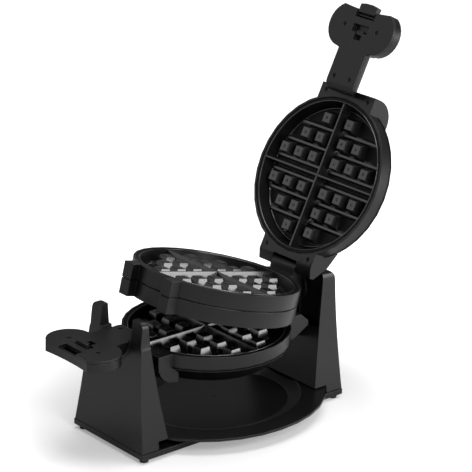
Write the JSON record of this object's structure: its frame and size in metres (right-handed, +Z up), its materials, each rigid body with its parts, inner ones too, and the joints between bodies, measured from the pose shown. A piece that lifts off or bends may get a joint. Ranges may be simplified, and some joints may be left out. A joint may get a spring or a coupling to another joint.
{
  "type": "belgian waffle maker",
  "caption": "Rotating double Belgian waffle maker with two hinged round lids, a double-sided centre unit, a front yoke, a rear tower and an oval drip tray.",
  "frame": {"origin": "on the worktop, under the middle of the object's bounding box", "axes": "+Z up; -Y towards the handles and the front yoke; +X towards the side the drip tray slides out of"},
  "size_m": [0.249, 0.49, 0.4991],
  "materials": {
    "shell_plastic": "black moulded plastic, fine satin texture",
    "matte_trim": "dark grey-black plastic, matte",
    "non_stick": "cast aluminium with black non-stick coating, semi-gloss",
    "plain_steel": "plain steel",
    "dark_steel": "blackened steel",
    "element_steel": "dull heat-darkened steel tube",
    "foot_rubber": "soft black rubber"
  },
  "bodies": {
    "base": {"base_screw_1": "dark_steel", "base_screw_2": "dark_steel", "base_screw_3": "dark_steel", "base_screw_4": "dark_steel", "bearing_bush": "matte_trim", "bearing_plate": "matte_trim", "cradle_liner": "matte_trim", "front_yoke": "shell_plastic", "plinth": "shell_plastic", "rubber_foot_1": "foot_rubber", "rubber_foot_2": "foot_rubber", "rubber_foot_3": "foot_rubber", "rubber_foot_4": "foot_rubber", "tower_body": "shell_plastic", "tower_cap": "shell_plastic"},
    "drip_tray": {"drip_tray": "shell_plastic"},
    "carriage": {"hub_arm": "shell_plastic", "hub_screw_1": "dark_steel", "hub_screw_2": "dark_steel", "hub_shaft": "matte_trim", "lower_handle_body": "shell_plastic", "lower_handle_cover": "matte_trim", "lower_handle_key": "matte_trim", "lower_handle_screw_1": "dark_steel", "lower_handle_screw_2": "dark_steel", "lower_handle_screw_3": "dark_steel", "lower_handle_screw_4": "dark_steel", "lower_heating_element": "element_steel", "lower_hinge_pin": "plain_steel", "lower_lid_screw_1": "dark_steel", "lower_lid_screw_2": "dark_steel", "lower_lid_shell": "shell_plastic", "lower_reflector": "plain_steel", "lower_thermostat": "plain_steel", "lower_waffle_plate": "non_stick"},
    "centre_unit": {"centre_heating_element": "element_steel", "centre_lower_plate": "non_stick", "centre_lower_shell": "shell_plastic", "centre_upper_plate": "non_stick", "centre_upper_shell": "shell_plastic", "upper_hinge_pin": "plain_steel"},
    "latch": {"latch_flap": "shell_plastic"},
    "upper_lid": {"latch_pin": "plain_steel", "upper_handle_body": "shell_plastic", "upper_handle_cover": "matte_trim", "upper_handle_key": "matte_trim", "upper_handle_screw_1": "dark_steel", "upper_handle_screw_2": "dark_steel", "upper_handle_screw_3": "dark_steel", "upper_handle_screw_4": "dark_steel", "upper_heating_element": "element_steel", "upper_lid_screw_1": "dark_steel", "upper_lid_screw_2": "dark_steel", "upper_lid_screw_3": "dark_steel", "upper_lid_screw_4": "dark_steel", "upper_lid_shell": "shell_plastic", "upper_reflector": "plain_steel", "upper_thermostat": "plain_steel", "upper_waffle_plate": "non_stick"}
  },
  "joints": [
    {"name": "tray_slide", "type": "slide", "parent": "base", "child": "drip_tray", "axis": [1, 0, 0], "range_m": [0, 0.2]},
    {"name": "flip", "type": "hinge", "parent": "base", "child": "carriage", "pos_m": [0, 0.12445, 0.1451], "axis": [0, 1, 0], "range_deg": [-2, 2]},
    {"name": "centre_hinge", "type": "hinge", "parent": "carriage", "child": "centre_unit", "pos_m": [0, 0.09845, 0.11], "axis": [-1, 0, 0], "range_deg": [-12.9, 0]},
    {"name": "upper_hinge", "type": "hinge", "parent": "centre_unit", "child": "upper_lid", "pos_m": [0, 0.10962, 0.17443], "axis": [-1, 0, 0], "range_deg": [-103.08, 0]},
    {"name": "latch_hinge", "type": "hinge", "parent": "upper_lid", "child": "latch", "pos_m": [0, 0.2334, 0.48244], "axis": [-1, 0, 0], "range_deg": [0, 16], "stiffness_Nm_per_rad": 0.02}
  ]
}
